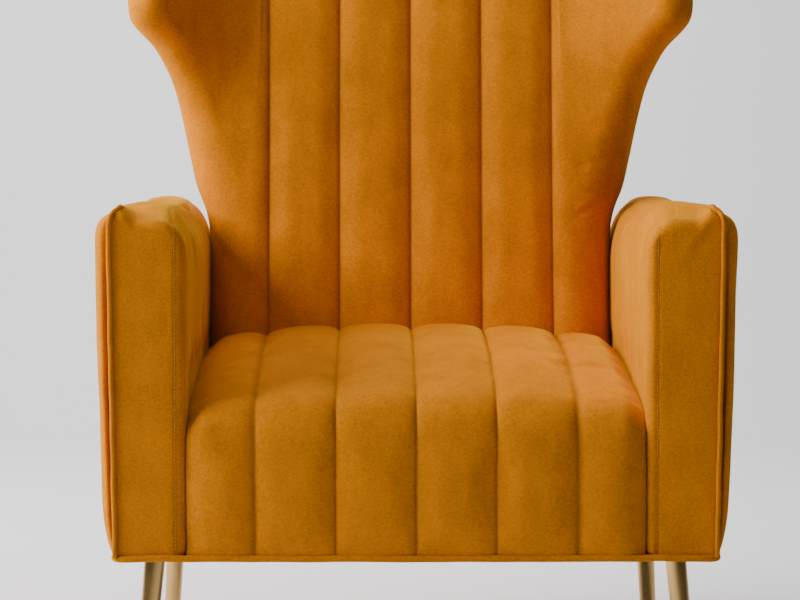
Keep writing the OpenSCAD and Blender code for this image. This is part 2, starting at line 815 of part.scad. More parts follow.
module staple() {
    block([-5, -0.6, -0.7], [5, 0.6, 0]);
    for (x = [-5, 4]) block([x, -0.6, -0.7], [x + 1, 0.6, 8]);
}

// ---------------------------------------------------------------- nodes

front_rail();
rear_rail();
side_rail(-1);  // side_rail_left
side_rail(1);  // side_rail_right
spring_rail();
corner_blocks();
rail_screws();
leg(-1, leg_front_y, splay_front, -lean_front);  // leg_front_left
leg(1, leg_front_y, splay_front, -lean_front);  // leg_front_right
leg(-1, leg_rear_y, splay_rear, lean_rear);  // leg_rear_left
leg(1, leg_rear_y, splay_rear, lean_rear);  // leg_rear_right
leg_screws();
foot(-1, leg_front_y, splay_front, -lean_front);  // foot_front_left
foot(1, leg_front_y, splay_front, -lean_front);  // foot_front_right
foot(-1, leg_rear_y, splay_rear, lean_rear);  // foot_rear_left
foot(1, leg_rear_y, splay_rear, lean_rear);  // foot_rear_right
seat_springs();
spring_clips();
seat_deck();
seat_foam();
seat_cover();
arm_front_post(-1);  // arm_front_post_left
arm_front_post(1);  // arm_front_post_right
arm_rear_post(-1);  // arm_rear_post_left
arm_rear_post(1);  // arm_rear_post_right
arm_top_rail(-1);  // arm_top_rail_left
arm_top_rail(1);  // arm_top_rail_right
arm_inner_board(-1);  // arm_inner_board_left
arm_inner_board(1);  // arm_inner_board_right
arm_foam(-1);  // arm_foam_left
arm_foam(1);  // arm_foam_right
arm_cover(-1);  // arm_cover_left
arm_cover(1);  // arm_cover_right
arm_facing(-1);  // arm_facing_left
arm_facing(1);  // arm_facing_right
arm_outside(-1);  // arm_outside_left
arm_outside(1);  // arm_outside_right
arm_welt(-1);  // arm_welt_left
arm_welt(1);  // arm_welt_right
arm_bolts();
back_post(-1);  // back_post_left
back_post(1);  // back_post_right
back_top_rail();
back_lumbar_rail();
back_bottom_rail();
back_webbing();
wing_board(-1);  // wing_board_left
wing_board(1);  // wing_board_right
back_foam();
back_cover();
back_outside();
back_bolts();
base_rear_panel();
body_welt();
dust_cover();
dust_cover_staples();
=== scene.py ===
"""The looks of a channelled wing armchair: velvet covers over its padding, welts, stitching and finishes."""

import json
import math

import bmesh
import bpy
from bpy.props import FloatProperty, FloatVectorProperty, IntProperty, PointerProperty
from mathutils import Euler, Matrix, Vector, noise


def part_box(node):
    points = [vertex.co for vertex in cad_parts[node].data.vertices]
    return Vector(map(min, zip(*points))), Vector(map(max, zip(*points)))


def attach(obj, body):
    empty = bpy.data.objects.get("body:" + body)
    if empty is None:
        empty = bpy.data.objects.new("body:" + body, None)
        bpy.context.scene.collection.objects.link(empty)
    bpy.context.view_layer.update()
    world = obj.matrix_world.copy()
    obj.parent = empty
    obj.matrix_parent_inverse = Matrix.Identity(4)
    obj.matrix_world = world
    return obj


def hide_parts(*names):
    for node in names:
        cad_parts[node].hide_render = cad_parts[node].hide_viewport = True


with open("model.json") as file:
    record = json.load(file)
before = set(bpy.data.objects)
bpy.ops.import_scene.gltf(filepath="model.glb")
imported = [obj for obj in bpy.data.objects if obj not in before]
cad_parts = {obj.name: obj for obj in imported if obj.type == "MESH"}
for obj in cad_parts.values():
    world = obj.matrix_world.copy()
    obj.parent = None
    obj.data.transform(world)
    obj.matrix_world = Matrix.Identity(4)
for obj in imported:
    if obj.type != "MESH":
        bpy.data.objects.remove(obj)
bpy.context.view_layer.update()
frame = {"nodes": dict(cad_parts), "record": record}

bl_info = {
    "name": "Channelled wing armchair",
    "version": (1, 0, 0),
    "blender": (4, 5, 0),
    "location": "3D View > Sidebar > Armchair",
    "description": "Upholsters the armchair's frame and sets it on a pale floor",
    "category": "Object",
}

# ------------------------------------------------------------------ places, all worked out from the frame

RAKE = math.radians(12)
SEAT_LOW, SEAT_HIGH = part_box("seat_cover")
DECK_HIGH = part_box("seat_deck")[1]
ARM_LOW, ARM_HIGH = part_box("arm_cover_right")
FACING_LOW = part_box("arm_facing_right")[0]
OUTSIDE_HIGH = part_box("arm_outside_right")[1]
BACK_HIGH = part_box("back_outside")[1]
PANEL_LOW, PANEL_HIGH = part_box("base_rear_panel")
WELT_LOW, WELT_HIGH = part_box("body_welt")
RAIL_LOW, RAIL_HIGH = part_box("front_rail")

REAR_Y = PANEL_HIGH.y  # the rear of the base, where the rake starts
KINK_Z = RAIL_HIGH.z + 0.004  # and its height
FACE_Y = FACING_LOW.y  # the front of the arms
CREST_Z = BACK_HIGH.z
ARM_TOP = ARM_HIGH.z + 0.010  # the padding is a little fuller at its front
ARM_IN = ARM_LOW.x
FOOT_Z = FACING_LOW.z - 0.005  # covers reach a little behind the welt
UNDER_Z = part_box("dust_cover")[1].z + 0.001  # the arms' padding ends just above the dust cover


def smooth(t):
    t = min(1.0, max(0.0, t))
    return t * t * (3 - 2 * t)


def mix(a, b, t):
    return a + (b - a) * t


def rear(z):
    """How far back the chair's rear surface is at a height."""
    return REAR_Y + max(0.0, z - KINK_Z) * math.tan(RAKE)


def through(points, x):
    """A smooth line through points, at x."""
    last = len(points) - 1
    if x <= points[0][0]:
        return points[0][1]
    if x >= points[last][0]:
        return points[last][1]
    i = max(k for k in range(last) if points[k][0] <= x)

    def gradient(k):
        a, b = points[max(0, k - 1)], points[min(last, k + 1)]
        return (b[1] - a[1]) / (b[0] - a[0])

    (x0, y0), (x1, y1) = points[i], points[i + 1]
    span = x1 - x0
    t = (x - x0) / span
    return (
        (2 * t**3 - 3 * t**2 + 1) * y0
        + (t**3 - 2 * t**2 + t) * span * gradient(i)
        + (3 * t**2 - 2 * t**3) * y1
        + (t**3 - t**2) * span * gradient(i + 1)
    )


def ripple(point, scale, seed=0.0):
    """Smooth, repeatable unevenness between about -1 and 1."""
    return noise.noise(Vector(point) * scale + Vector((seed, 3.7 * seed, 1.3)))


# ------------------------------------------------------------------ mesh tools


def grid(bm, across, along, place):
    """Adds a grid of quads to bm. place(i, j) gives a point and how much shade is painted into the cloth there.
    """
    # A per-vertex layer for the painted seam shade.
    crease = bm.verts.layers.float.get("crease") or bm.verts.layers.float.new("crease")
    made = bmesh.ops.create_grid(bm, x_segments=across, y_segments=along, size=0.5)
    for vert in made["verts"]:
        i = round((vert.co.x + 0.5) * across)
        j = round((vert.co.y + 0.5) * along)
        vert.co, vert[crease] = place(i, j)


def sweep(bm, path, radius, around=10, closed=False, up=Vector((0, 0, 1))):
    """A round cord along a path of points, with its ends filled unless it is closed."""
    count = len(path)

    def place(i, j):
        k = j % count
        ahead = path[(k + 1) % count] if closed else path[min(k + 1, count - 1)]
        behind = path[k - 1] if closed else path[max(k - 1, 0)]
        forward = (ahead - behind).normalized()
        side = forward.cross(up).normalized()
        turn = 2 * math.pi * i / around
        out = side * math.cos(turn) + side.cross(forward) * math.sin(turn)
        return path[k] + out * radius, 0.0

    grid(bm, around, count if closed else count - 1, place)


def close(bm):
    """Merges what meets, fills what is left open and turns every face outwards."""
    bmesh.ops.remove_doubles(bm, verts=bm.verts, dist=1e-5)
    edges = [e for e in bm.edges if e.is_boundary]
    if edges:
        filled = bmesh.ops.holes_fill(bm, edges=edges, sides=0)["faces"]
        bmesh.ops.triangulate(bm, faces=filled)
    bmesh.ops.recalc_face_normals(bm, faces=bm.faces)
    if bm.calc_volume(signed=True) < 0:
        bmesh.ops.reverse_faces(bm, faces=bm.faces)


def finish_piece(bm, name, finish, slot, *replaced):
    """Turns bm into a piece of the chair that stands for the frame's nodes named."""
    mesh = bpy.data.meshes.new(name)
    bm.to_mesh(mesh)
    bm.free()
    for face in mesh.polygons:
        face.use_smooth = True
    piece = bpy.data.objects.new(name, mesh)
    bpy.context.scene.collection.objects.link(piece)
    piece.data.materials.append(finish)
    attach(piece, "root")
    if replaced:
        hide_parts(*replaced)
    return piece


def subdivide(piece, levels=1):
    modifier = piece.modifiers.new("Subdivision", "SUBSURF")
    modifier.levels = levels
    modifier.render_levels = levels


def inflate(piece, held, pressure, frames, most, growth=0.004):
    """Lets the cover grow and swell over its padding where it isn't held, moving no point by more than "most"."""
    scene = bpy.context.scene
    group = piece.vertex_groups.new(name="held")
    for vert in piece.data.vertices:
        group.add([vert.index], held(vert), "REPLACE")
    before = [vert.co.copy() for vert in piece.data.vertices]
    cloth = piece.modifiers.new("Cloth", "CLOTH")
    settings = cloth.settings
    settings.quality = 6
    settings.mass = 0.4
    settings.tension_stiffness = 25
    settings.compression_stiffness = 25
    settings.shear_stiffness = 12
    settings.bending_stiffness = 4
    settings.vertex_group_mass = group.name
    settings.use_pressure = True
    settings.uniform_pressure_force = pressure
    settings.shrink_min = -growth
    settings.effector_weights.gravity = 0
    cloth.collision_settings.use_collision = False
    cloth.point_cache.frame_start = 1
    cloth.point_cache.frame_end = frames
    for number in range(1, frames + 1):
        scene.frame_set(number)
    swollen = piece.evaluated_get(bpy.context.evaluated_depsgraph_get()).data
    after = [vert.co.copy() for vert in swollen.vertices]
    piece.modifiers.remove(cloth)
    piece.vertex_groups.remove(group)
    scene.frame_set(1)
    for vert, old, new in zip(piece.data.vertices, before, after):
        move = new - old
        if move.length > most:
            move *= most / move.length
        vert.co = old + move
    piece.data.update()


# ------------------------------------------------------------------ finishes


class Field:
    """A value that varies over a surface. Arithmetic on it adds Math nodes."""

    def __init__(self, finish, socket):
        self.finish = finish
        self.socket = socket

    def math(self, operation, other):
        return self.finish.node("ShaderNodeMath", {"operation": operation}, {0: self, 1: other})

    def __add__(self, other):
        return self.math("ADD", other)

    def __mul__(self, other):
        return self.math("MULTIPLY", other)

    __radd__ = __add__
    __rmul__ = __mul__


class Finish:
    """A material with its shader, whose plain values are set by name."""

    def __init__(self, name, **values):
        self.material = bpy.data.materials.new(name)
        self.material.use_nodes = True
        self.tree = self.material.node_tree
        self.shader = self.tree.nodes["Principled BSDF"]
        for key, value in values.items():
            socket = self.shader.inputs[key.replace("_", " ").title().replace("Ior", "IOR")]
            socket.default_value = (*value, 1) if isinstance(value, tuple) and len(value) == 3 else value

    def node(self, kind, settings=None, inputs=None, output=0):
        node = self.tree.nodes.new(kind)
        for key, value in (settings or {}).items():
            if key == "stops":
                ramp = node.color_ramp.elements
                while len(ramp) < len(value):
                    ramp.new(0.5)
                for element, (place, colour) in zip(ramp, value):
                    element.position = place
                    element.color = (*colour, 1)
            else:
                setattr(node, key, value)
        for key, value in (inputs or {}).items():
            if isinstance(value, Field):
                self.tree.links.new(value.socket, node.inputs[key])
            else:
                node.inputs[key].default_value = value
        return Field(self, node.outputs[output])

    def place(self):
        return self.node("ShaderNodeTexCoord", output="Object")

    def stretched(self, scale):
        return self.node("ShaderNodeMapping", inputs={"Vector": self.place(), "Scale": scale})

    def noise(self, scale, detail=2.0, vector=None, roughness=0.5):
        inputs = {"Vector": vector or self.place(), "Scale": scale, "Detail": detail, "Roughness": roughness}
        return self.node("ShaderNodeTexNoise", inputs=inputs)

    def blend(self, share, a, b):
        return self.node("ShaderNodeMix", {"data_type": "RGBA"}, {0: share, 6: a, 7: b}, output=2)

    def feed(self, socket, value):
        self.tree.links.new(value.socket, self.shader.inputs[socket])

    def relief(self, height, distance, strength=1.0):
        inputs = {"Height": height, "Distance": distance, "Strength": strength}
        self.feed("Normal", self.node("ShaderNodeBump", inputs=inputs))


def rgb(colour, gain=1.0):
    return (*(min(1.0, c * gain) for c in colour[:3]), 1.0)


def velvet(name, colour, gain=1.0):
    """Short-pile velvet: a soft nap with cloudy patches, and painted shade that darkens it along seams, joins and
    panel edges.
    """
    cloth = Finish(
        name, roughness=0.9, sheen_weight=0.42, sheen_roughness=0.35,
        sheen_tint=(1.0, 0.68, 0.03), specular_ior_level=0.08,
    )
    clouds = cloth.noise(16, 3)
    brushed = cloth.noise(60, 3, cloth.stretched((1.0, 1.0, 0.35)))
    pile = cloth.noise(620, 2, roughness=0.6)
    weave = cloth.noise(300, 3, cloth.stretched((0.8, 0.8, 1.3)), roughness=0.75)
    tone = clouds * 0.22 + brushed * 0.14 + pile * 0.26 + weave * 0.38
    share = cloth.node(
        "ShaderNodeMapRange", inputs={"Value": tone, "From Min": 0.40, "From Max": 0.60}
    )
    # Painted shade: this per-vertex mask marks the seams, joins and panel edges where shade is painted into the
    # colour.
    crease = cloth.node("ShaderNodeAttribute", {"attribute_name": "crease"}, output="Fac")
    lit = cloth.blend(share, rgb(colour, 0.76 * gain), rgb(colour, 1.20 * gain))
    # Painted shade: along seams and joins the colour is pulled towards a dark 0.30 of itself.
    cloth.feed("Base Color", cloth.blend(crease * 0.55, lit, rgb(colour, 0.30 * gain)))
    fibres = cloth.noise(1700, 1)
    cloth.relief(pile * 0.4 + weave * 0.4 + fibres * 0.2, 0.0008, 0.7)
    return cloth.material


# ------------------------------------------------------------------ the chair's own settings


class ChairSizes(bpy.types.PropertyGroup):
    channel: FloatProperty(
        name="Channel width", description="Distance between sewn seams", default=0.092, unit="LENGTH"
    )
    bulge: FloatProperty(
        name="Channel depth", description="Rise of a channel above its seams", default=0.009, unit="LENGTH"
    )
    fineness: IntProperty(
        name="Columns per channel", description="How finely each channel is modelled", default=16, min=6
    )
    stitch: FloatProperty(
        name="Stitch length", description="Distance between the arm strips' stitches", default=0.0041,
        unit="LENGTH",
    )


class ChairColours(bpy.types.PropertyGroup):
    velvet: FloatVectorProperty(
        name="Velvet", description="Colour of the covers", default=(0.62, 0.200, 0.0), subtype="COLOR"
    )
    brass: FloatVectorProperty(
        name="Legs", description="Colour of the plated legs", default=(0.56, 0.36, 0.13), subtype="COLOR"
    )
    timber: FloatVectorProperty(
        name="Timber", description="Colour of the frame", default=(0.52, 0.36, 0.19), subtype="COLOR"
    )


def sizes():
    return bpy.context.scene.chair_sizes


def colours():
    return bpy.context.scene.chair_colours


def cover_finish():
    """The covers' one material, made when it is first needed."""
    return bpy.data.materials.get("mustard_velvet") or velvet("mustard_velvet", colours().velvet)


def channel_rise(x, pitch, last):
    """How full a channel is at x, 0 at its seams and 1 in its middle, and how deep x lies in a seam, which sets
    the shade painted there.
    """
    x = min(abs(x), last)
    k = min(math.floor(x / pitch), round(last / pitch) - 1)
    s = (x / pitch - k) * 2 - 1
    depth = min(x - k * pitch, (k + 1) * pitch - x)
    return (1 - abs(s) ** 3.4) ** 0.55, math.exp(-depth / 0.0010)


def crowded(start, end, count):
    """Places from start towards end, closer together at both."""
    for i in range(count):
        t = i / count
        yield mix(start, end, 0.15 * t + 0.85 * (0.5 - 0.5 * math.cos(math.pi * t)))


# ------------------------------------------------------------------ back

TIP_X = 0.364
TIP_Z = 0.838
CORNER_RISE = 0.062  # where the side and top edges meet, above the wing tips
CREST_POWER = 2.3  # roundness of the crest's arch
CREST_ROLL = 0.040  # height of its rounded edge
BACK_T = 0.119
EDGE = 0.028  # half thickness of a wing's edge
BEND_X, BEND_END = 0.196, 0.332  # where the wings start to turn, and where they are fully turned
WING_START, WING_RISE = 0.62, 0.24  # height at which they start, and over which they grow
WING_FORWARD = 0.089
WING_CURVE = 1.7
# Half the back's width, by height.
SIDE_LINE = (
    (0.200, 0.2660), (0.545, 0.2660), (0.575, 0.2710), (0.605, 0.2825), (0.637, 0.2895),
    (0.676, 0.2970), (0.715, 0.3045), (0.745, 0.3130), (0.773, 0.3260), (0.788, 0.3355), (0.804, 0.3500),
    (0.820, 0.3610), (TIP_Z, TIP_X),
)


def crest_height(x):
    """Rise of the back's outline above the wing tips."""
    share = min(1.0, abs(x) / TIP_X) ** CREST_POWER
    return (CREST_Z - TIP_Z) * (1 - share) ** (1 / CREST_POWER)


def half_width(z):
    """Half the back's width at a height."""
    if z < TIP_Z:
        return through(SIDE_LINE, z)
    share = min(1.0, (z - TIP_Z) / (CREST_Z - TIP_Z)) ** CREST_POWER
    return TIP_X * (1 - share) ** (1 / CREST_POWER)


def edge_radius(z):
    """Half the thickness of the back's side edge, which thins towards the wings."""
    return mix(EDGE, BACK_T / 2, 1 - smooth((z - 0.57) / 0.20))


def wing(x, z):
    """How far the wings come forward at a distance from the centre, and how steeply."""
    on = smooth((z - WING_START) / WING_RISE)
    u = max(0.0, (x - BEND_X) / (BEND_END - BEND_X))
    slope = WING_CURVE * WING_FORWARD / (BEND_END - BEND_X) * on * u ** (WING_CURVE - 1)
    return WING_FORWARD * on * u**WING_CURVE, slope


def edge_profile(inward, radius):
    """Height, from 0 to 1, of a rounded edge at a distance in from it."""
    share = 1 - min(1.0, max(0.0, inward / radius))
    return math.sqrt(max(0.0, 1 - share * share))


def back_columns():
    """Columns from the centre to the edge, as ("x", place), ("wing", share) or ("edge", share)."""
    pitch = sizes().channel
    count = sizes().fineness
    places = [("x", x) for k in (0, 1) for x in crowded(k * pitch, (k + 1) * pitch, count)]
    places += [("wing", (i / 16) ** 1.35) for i in range(17)]
    places += [("edge", 1 - math.cos(math.radians(7.5 * i))) for i in range(1, 13)]
    return places


def back_rows():
    """Shares of the way from the foot to the crest, closer together towards the crest."""
    straight = [0.93 * i / 90 for i in range(90)]
    return straight + [1 - 0.07 * (1 - math.sin(math.radians(90 * i / 12))) for i in range(13)]


def crease_line(x, z, start, end, width, depth):
    """A shallow fold in the cloth along a line, as a change in height."""
    a, b, p = Vector(start), Vector(end), Vector((x, z))
    along = (b - a).normalized()
    t = (p - a).dot(along) / (b - a).length
    off = (p - a) - along * (p - a).dot(along)
    side = off.length * (1 if along.cross(p - a) > 0 else -1)
    fade = smooth(t * 3 + 0.4) * smooth((1 - t) * 3 + 0.4)
    return depth * fade * (0.7 * math.exp(-(((side - width) / width) ** 2)) - math.exp(-((side / width) ** 2)))


# Folds on the right wing's lower panel: start and end as (x, z), width and depth.
WING_FOLDS = (
    ((0.214, 0.634), (0.262, 0.647), 0.0035, 0.0016),
    ((0.214, 0.571), (0.272, 0.598), 0.0045, 0.0030),
    ((0.225, 0.600), (0.262, 0.616), 0.0035, 0.0010),
)


def back_point(column, v, side, front):
    """A point on the back's front (front = 1) or rear (-1) surface, and the shade painted into its seams."""
    pitch = sizes().channel
    foot = KINK_Z + 0.002
    corner = TIP_Z + CORNER_RISE
    corner_x = half_width(corner)
    seam = 2 * pitch
    z_side = mix(foot, corner, v)
    half = half_width(z_side)
    radius = edge_radius(z_side)
    tilt = math.atan(wing(half - radius, z_side)[1])
    middle = half - radius * (1 - math.cos(tilt))
    flat = middle - radius * math.cos(tilt)
    kind, value = column
    if kind == "x":
        x = value
    elif kind == "wing":
        x = mix(seam, flat, value)
    else:
        x = mix(flat, middle, value)
    lift = smooth((z_side - KINK_Z - 0.25) / 0.33)
    top = crest_height(x / middle * corner_x)
    z = z_side + lift * (top - crest_height(corner_x))
    from_top = TIP_Z + top - z
    from_side = (middle - x) / math.cos(tilt)
    forward, slope = wing(x, z)
    share = smooth((x - BEND_X) / max(0.001, flat - BEND_X))
    roll = edge_profile(from_side, radius) * edge_profile(from_top, CREST_ROLL)
    thick = mix(BACK_T / 2, radius, share) * roll
    crease = 0.0
    if front > 0:
        # Painted shade deep in the channel seams and along the wing seam, fading out over the rolled edge.
        rise, crease = channel_rise(x, pitch, seam)
        if x > seam:
            near = min(1.0, (x - seam) / 0.026)
            rise = 0.8 * (1 - (1 - near) ** 2.2) ** 0.62
            crease = math.exp(-(x - seam) / 0.0010)
        thick += sizes().bulge * (rise - 0.55) * roll
        thick += 0.0009 * ripple((x * side, 0, z * 0.6), 16, 2) * roll
        crease *= roll
        if side > 0:
            thick += sum(crease_line(x, z, *fold) for fold in WING_FOLDS) * roll
    normal = Vector((-slope, -1)).normalized()
    centre = rear(z) - BACK_T / 2 - forward - (BACK_T / 2 - radius) * share
    return Vector((side * (x + front * thick * normal.x), centre + front * thick * normal.y, z)), crease


class ARMCHAIR_OT_back(bpy.types.Operator):
    """Upholster the back: sewn channels, wings that turn forward and a rolled edge"""

    bl_idname = "armchair.back"
    bl_label = "Inside back and wings"

    def execute(self, context):
        columns, rows = back_columns(), back_rows()
        last = len(columns) - 1
        bm = bmesh.new()
        for front in (1, -1):
            def place(i, j, front=front):
                return back_point(columns[abs(i - last)], rows[j], -1 if i < last else 1, front)

            grid(bm, 2 * last, len(rows) - 1, place)
        close(bm)
        piece = finish_piece(bm, "inside_back", cover_finish(), "velvet", "back_foam", "back_cover")
        # The mask of painted seam shade also marks the seams, where the cloth is held still.
        crease = [item.value for item in piece.data.attributes["crease"].data]

        def held(vert):
            behind = vert.co.y > rear(vert.co.z) - 0.75 * BACK_T and abs(vert.co.x) < BEND_X
            return 1.0 if behind or vert.co.z < 0.40 or crease[vert.index] > 0.7 else 0.0

        inflate(piece, held, pressure=2.0, frames=10, most=0.0014, growth=0.0)
        subdivide(piece)
        return {"FINISHED"}


OUTSIDE_EDGE = 0.35  # how much of the side edge's roll the outside back covers
OUTSIDE_TOP = 0.972  # how far up it reaches, as a share of the back's height
BASE_SIDE = 0.002  # how far the base's rear cover reaches past its panel, at its sides
BASE_FOOT = 0.004  # at its foot
BASE_TUCK = 0.020  # and up behind the outside back's foot


class ARMCHAIR_OT_outside_back(bpy.types.Operator):
    """Cover the rear of the back and of the base with plain panels"""

    bl_idname = "armchair.outside_back"
    bl_label = "Outside back"

    def execute(self, context):
        columns, rows = back_columns(), back_rows()
        inner = [c for c in columns if c[0] != "edge" or c[1] < OUTSIDE_EDGE]
        lower = [r for r in rows if r < OUTSIDE_TOP]
        last, top = len(inner) - 1, len(lower) - 1

        def place(i, j):
            side = -1 if i < last else 1
            point, _ = back_point(inner[abs(i - last)], lower[j], side, -1)
            ahead, _ = back_point(inner[abs(i - last)], lower[j], side, 1)
            outward = (point - ahead).normalized()
            edge = min(last - abs(i - last), top - j, j + 3)
            lift = -0.0004 + 0.0032 * edge_profile(min(edge, 4) / 4, 1)
            # Painted shade, darker towards the panel's edges.
            return point + outward * lift, math.exp(-edge / 0.8) * 0.8

        bm = bmesh.new()
        grid(bm, 2 * last, top, place)
        bmesh.ops.reverse_faces(bm, faces=bm.faces)
        piece = finish_piece(bm, "outside_back", cover_finish(), "velvet", "back_outside")
        solid = piece.modifiers.new("Solidify", "SOLIDIFY")
        solid.thickness = 0.0015
        solid.offset = -1

        half = PANEL_HIGH.x + BASE_SIDE
        bm = bmesh.new()

        def panel(i, j):
            x = mix(-half, half, i / 60)
            z = mix(PANEL_LOW.z - BASE_FOOT, KINK_Z + BASE_TUCK, j / 12)
            edge = min(i, 60 - i, j + 1, 12 - j) / 3
            swell = 0.004 * edge_profile(min(edge, 1), 1) + 0.0008 * ripple((x, 0, z), 11, 5)
            # Painted shade, darker towards the cover's edges.
            return Vector((x, PANEL_HIGH.y - 0.003 + swell, z)), math.exp(-3 * edge) * 0.6

        grid(bm, 60, 12, panel)
        bmesh.ops.reverse_faces(bm, faces=bm.faces)
        base = finish_piece(bm, "base_rear_cover", cover_finish(), "velvet", "base_rear_panel")
        solid = base.modifiers.new("Solidify", "SOLIDIFY")
        solid.thickness = 0.007
        solid.offset = -1
        return {"FINISHED"}


# ------------------------------------------------------------------ seat

NOSE = 0.052  # radius of the front edge
NOSE_TILT = math.radians(12)  # slope of the top where the nose starts
NOSE_DROP = 0.041  # how much lower the nose is than the crown
CROWN_REACH = 0.437  # from the front to the crown
CROWN_SINK = 0.0055  # how far the channels' line lies below the seat's height
SIDE_FALL = 0.021
SEAT_GRIP = 0.0008  # how far the seat presses into the arms
TUCK = 0.026  # how far the seat's rear rolls down where it tucks in against the back


def seat_profile():
    """The seat's outer line from the foot of its front to the fold where it meets the back, as (y, z, share on
    top).
    """
    front, top = SEAT_LOW.y, SEAT_HIGH.z - CROWN_SINK
    nose_y = front + 0.79 * NOSE
    crown_y = front + CROWN_REACH

    def line(y):
        fall = max(0.0, (crown_y - y) / (crown_y - nose_y))
        return top - NOSE_DROP * fall**2.2

    centre_z = line(nose_y) - NOSE * math.cos(NOSE_TILT)
    end = rear(top) - BACK_T - 0.002
    points = []
    for i in range(34):
        t = i / 34
        y = front + 0.002 * (1 - smooth(t * 4)) - 0.001 * math.sin(math.pi * t)
        points.append((y, mix(FOOT_Z + 0.001, centre_z, t), 0.0))
    for i in range(13):
        a = mix(math.pi, math.pi / 2 + NOSE_TILT, i / 12)
        points.append((front + NOSE + NOSE * math.cos(a), centre_z + NOSE * math.sin(a), 0.45 * i / 12))
    for i in range(1, 61):
        y = mix(nose_y, end, i / 60)
        inward = max(0.0, y - (end - TUCK)) / TUCK
        share = mix(0.45, 1.0, smooth((y - nose_y) / 0.16))
        points.append((y, line(y) - 0.022 * inward**2.4, share))
    return points


class ARMCHAIR_OT_seat(bpy.types.Operator):
    """Upholster the seat: sewn channels that run over its front edge and down to the welt"""

    bl_idname = "armchair.seat"
    bl_label = "Seat"

    def execute(self, context):
        pitch, bulge = sizes().channel, sizes().bulge
        half = ARM_IN + SEAT_GRIP
        seam = 2 * pitch
        outer = seat_profile()
        shown = len(outer)
        end_y, end_z, _ = outer[-1]
        low = DECK_HIGH.z + 0.004
        hidden = [
            (end_y - 0.012, mix(end_z, low, 0.5)), (end_y - 0.026, low), (mix(end_y, RAIL_LOW.y, 0.5), low),
            (RAIL_LOW.y + 0.02, RAIL_HIGH.z + 0.010), (RAIL_LOW.y - 0.0006, RAIL_HIGH.z + 0.009),
            (RAIL_LOW.y - 0.0006, mix(RAIL_HIGH.z, FOOT_Z, 0.5)), (RAIL_LOW.y - 0.0006, FOOT_Z + 0.001),
        ]
        count = shown + len(hidden)
        across = [x for k in (0, 1) for x in crowded(k * pitch, (k + 1) * pitch, sizes().fineness)]
        across += [mix(seam, half, 1 - (1 - i / 15) ** 1.5) for i in range(16)]
        last = len(across) - 1

        def place(i, j):
            side = -1 if i < last else 1
            x = across[abs(i - last)]
            j %= count
            if j >= shown:
                y, z = hidden[j - shown]
                return Vector((side * x, y, z)), 0.0
            y, z, top = outer[j]
            ahead, behind = outer[min(j + 1, shown - 1)], outer[max(j - 1, 0)]
            run = Vector((ahead[0] - behind[0], ahead[1] - behind[1])).normalized()
            out = Vector((-run.y, run.x))
            # Painted shade deep in the channel seams, the outer seam and where the seat meets the arms.
            rise, crease = channel_rise(x, pitch, seam)
            if x > seam:
                near = (x - seam) / 0.046
                rise = (1 - abs(min(1.0, near) - 1) ** 2.6) ** 0.62
                rise -= 1.5 * smooth((x - half + 0.030) / 0.030) ** 1.6
                crease = math.exp(-(x - seam) / 0.0010) + math.exp(-(half - x) / 0.004)
            ends = smooth(j / 5) * smooth((shown - 1 - j) / 4)
            lift = bulge * (rise - 0.5) * mix(0.75, 1.0, top) * mix(0.35, 1.0, ends)
            lift += 0.0010 * ripple((side * x, y, z), 15, 7) * ends
            z -= SIDE_FALL * top * (x / half) ** 3
            wander = 0.0008 * ripple((side * round(x / pitch), y, z), 14, 11) * ends
            return Vector((side * x + wander, y + out.x * lift, z + out.y * lift)), min(1.0, crease)

        bm = bmesh.new()
        grid(bm, 2 * last, count, place)
        close(bm)
        piece = finish_piece(bm, "seat", cover_finish(), "velvet", "seat_foam", "seat_cover")
        # The mask of painted seam shade also marks the seams, where the cloth is held still.
        crease = [item.value for item in piece.data.attributes["crease"].data]

        def held(vert):
            inside = vert.co.y > SEAT_LOW.y + 0.014 and vert.co.z < SEAT_HIGH.z - 0.075
            return 1.0 if inside or vert.co.z < 0.222 or crease[vert.index] > 0.7 else 0.0

        inflate(piece, held, pressure=2.0, frames=10, most=0.0025)
        subdivide(piece)
        return {"FINISHED"}


# ------------------------------------------------------------------ arms

ARM_OUT = ARM_HIGH.x
CUT = 0.012  # how far in the outer seam lies on top of the arm
ARM_CAMBER = 0.0015  # fall of the arm's top from its middle to its outer seam
LEAN = 0.006  # how far the arm's outside leans in at its foot
ARM_ROUNDING = 0.42  # length over which the arm's section turns from square to round
SHOULDER = 0.008  # radius of its outer top edge
CORNER_STEPS, SIDE_STEPS, TOP_STEPS = 12, 44, 12
FACE_ROLL = 0.014  # how far back the arm's front edge rolls into its top
SIDE_ROLL = 0.013  # and into its inner side


def corner(cx, cz, rx, rz, start, steps, power=2.2):
    """A quarter of a rounded corner, a quarter turn clockwise from the angle start."""
    points = []
    for i in range(1, steps + 1):
        a = math.radians(start - 90 * i / steps)
        c, s = math.cos(a), math.sin(a)
        points.append((
            cx + rx * math.copysign(abs(c) ** (2 / power), c),
            cz + rz * math.copysign(abs(s) ** (2 / power), s),
        ))
    return points


def outline(inner, outer_top, outer_foot, top, top_outer, foot, rx, rz, outer_r):
    """A loop round an arm: up its inner face, over the top, down its outside and back along its foot."""
    points = [(inner, mix(foot, top - rz, i / SIDE_STEPS)) for i in range(SIDE_STEPS + 1)]
    points += corner(inner + rx, top - rz, rx, rz, 180, CORNER_STEPS)
    start, end = inner + rx, outer_top - outer_r
    for i in range(1, TOP_STEPS):
        t = i / TOP_STEPS
        points.append((mix(start, end, t), mix(top, top_outer, t**2)))
    points.append((end, top_outer))
    points += corner(end, top_outer - outer_r, outer_r, outer_r, 90, 5, 2.0)
    for i in range(1, SIDE_STEPS + 1):
        t = i / SIDE_STEPS
        points.append((mix(outer_top, outer_foot, t), mix(top_outer - outer_r, foot, t)))
    points += [(mix(outer_foot, inner, i / 8), foot) for i in range(1, 8)]
    return points


